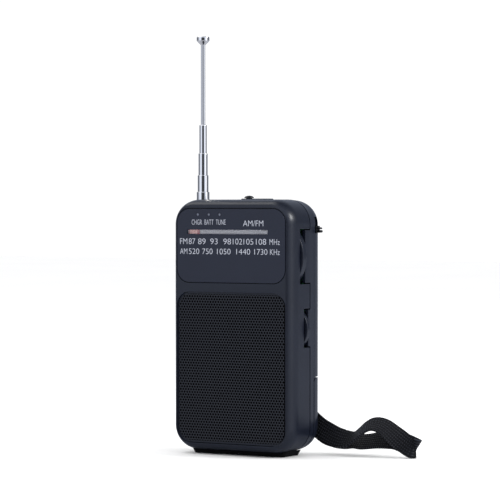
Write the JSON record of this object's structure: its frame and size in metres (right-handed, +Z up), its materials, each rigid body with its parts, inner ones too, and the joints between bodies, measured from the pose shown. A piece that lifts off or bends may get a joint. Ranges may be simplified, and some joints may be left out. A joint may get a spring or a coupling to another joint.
{
  "type": "pocket radio",
  "caption": "Upright pocket radio with a perforated speaker grille, a dial panel, side thumbwheels, a telescopic antenna and a webbing wrist strap.",
  "frame": {"origin": "centre of the foot pad's underside", "axes": "+X to the right seen from the front, +Y to the back, +Z up along the antenna"},
  "size_m": [0.1183, 0.0449, 0.2048],
  "materials": {
    "case_plastic": "satin moulded",
    "panel_plastic": "semi-gloss",
    "black_plastic": "gloss",
    "clear_plastic": "clear moulded",
    "scale_plastic": "satin",
    "red_plastic": "gloss",
    "mesh_metal": "semi-gloss paint",
    "chrome": "polished",
    "plated_steel": "plated",
    "copper_winding": "enamelled wire",
    "board_laminate": "solder resist",
    "ferrite": "matt ceramic",
    "cone_paper": "pressed paper and felt",
    "rubber": "matt",
    "webbing": "ribbed weave",
    "cell_jacket": "gloss sleeve",
    "cord_fibre": "braided",
    "wire_red": "satin",
    "wire_black": "satin"
  },
  "bodies": {
    "case": {"front_shell": "case_plastic", "rear_shell": "case_plastic", "foot_pad": "rubber", "dial_panel": "panel_plastic", "dial_lens": "clear_plastic", "dial_scale_plate": "scale_plastic", "dial_cord": "cord_fibre", "led_light_guide": "clear_plastic", "led_charge": "clear_plastic", "led_battery": "clear_plastic", "led_tuning": "clear_plastic", "grille_mesh": "mesh_metal", "grille_felt": "cone_paper", "speaker_basket": "plated_steel", "speaker_cone": "cone_paper", "speaker_magnet": "ferrite", "speaker_wire_red": "wire_red", "speaker_wire_black": "wire_black", "circuit_board": "board_laminate", "audio_chip": "black_plastic", "tuner_chip": "black_plastic", "electrolytic_capacitor": "plated_steel", "intermediate_coil_can": "plated_steel", "tuning_capacitor": "clear_plastic", "volume_potentiometer": "plated_steel", "ferrite_rod": "ferrite", "antenna_coil": "copper_winding", "top_switch_body": "plated_steel", "side_switch_body": "plated_steel", "earphone_jack": "black_plastic", "charging_socket": "plated_steel", "antenna_base_tube": "chrome", "antenna_bracket": "plated_steel", "battery_cell_1": "cell_jacket", "battery_cell_2": "cell_jacket", "contact_bridge": "plated_steel", "contact_positive": "plated_steel", "contact_negative": "plated_steel", "battery_spring_1": "plated_steel", "battery_spring_2": "plated_steel", "case_screw_1": "plated_steel", "case_screw_2": "plated_steel", "case_screw_3": "plated_steel", "case_screw_4": "plated_steel", "strap_bar": "plated_steel", "wrist_strap": "webbing"},
    "tuning": {"tuning_wheel": "case_plastic", "tuning_shaft": "plated_steel", "tuning_wheel_screw": "plated_steel"},
    "pointer": {"dial_pointer": "red_plastic"},
    "volume": {"volume_wheel": "case_plastic", "volume_wheel_screw": "plated_steel"},
    "top_slider": {"top_slide_knob": "black_plastic"},
    "side_slider": {"side_slide_knob": "black_plastic"},
    "battery_lid": {"battery_door": "case_plastic"},
    "antenna_1": {"antenna_section_1": "chrome"},
    "antenna_2": {"antenna_section_2": "chrome"},
    "antenna_3": {"antenna_section_3": "chrome"},
    "antenna_tip": {"antenna_rod": "chrome"}
  },
  "joints": [
    {"name": "tuning_turn", "type": "hinge", "parent": "case", "child": "tuning", "pos_m": [0.0155, -0.0036, 0.0965], "axis": [0, 1, 0], "range_deg": [0, 180]},
    {"name": "pointer_slide", "type": "slide", "parent": "case", "child": "pointer", "axis": [1, 0, 0], "range_m": [0, 0.0389]},
    {"name": "volume_turn", "type": "hinge", "parent": "case", "child": "volume", "pos_m": [0.0241, -0.0002, 0.0617], "axis": [0, 1, 0], "range_deg": [0, 270]},
    {"name": "top_slide", "type": "slide", "parent": "case", "child": "top_slider", "axis": [1, 0, 0], "range_m": [0, 0.0086]},
    {"name": "side_slide", "type": "slide", "parent": "case", "child": "side_slider", "axis": [0, 0, 1], "range_m": [0, 0.0042]},
    {"name": "battery_door_slide", "type": "slide", "parent": "case", "child": "battery_lid", "axis": [0, 0, -1], "range_m": [0, 0.008]},
    {"name": "antenna_1_slide", "type": "slide", "parent": "case", "child": "antenna_1", "axis": [0, 0, 1], "range_m": [-0.0078, 0.046]},
    {"name": "antenna_2_slide", "type": "slide", "parent": "antenna_1", "child": "antenna_2", "axis": [0, 0, 1], "range_m": [-0.0104, 0.043]},
    {"name": "antenna_3_slide", "type": "slide", "parent": "antenna_2", "child": "antenna_3", "axis": [0, 0, 1], "range_m": [-0.0137, 0.04]},
    {"name": "antenna_tip_slide", "type": "slide", "parent": "antenna_3", "child": "antenna_tip", "axis": [0, 0, 1], "range_m": [-0.0386, 0.015]}
  ],
  "couplings": [
    {"joint": "pointer_slide", "follows": "tuning_turn", "m_per_rad": 0.01235}
  ]
}
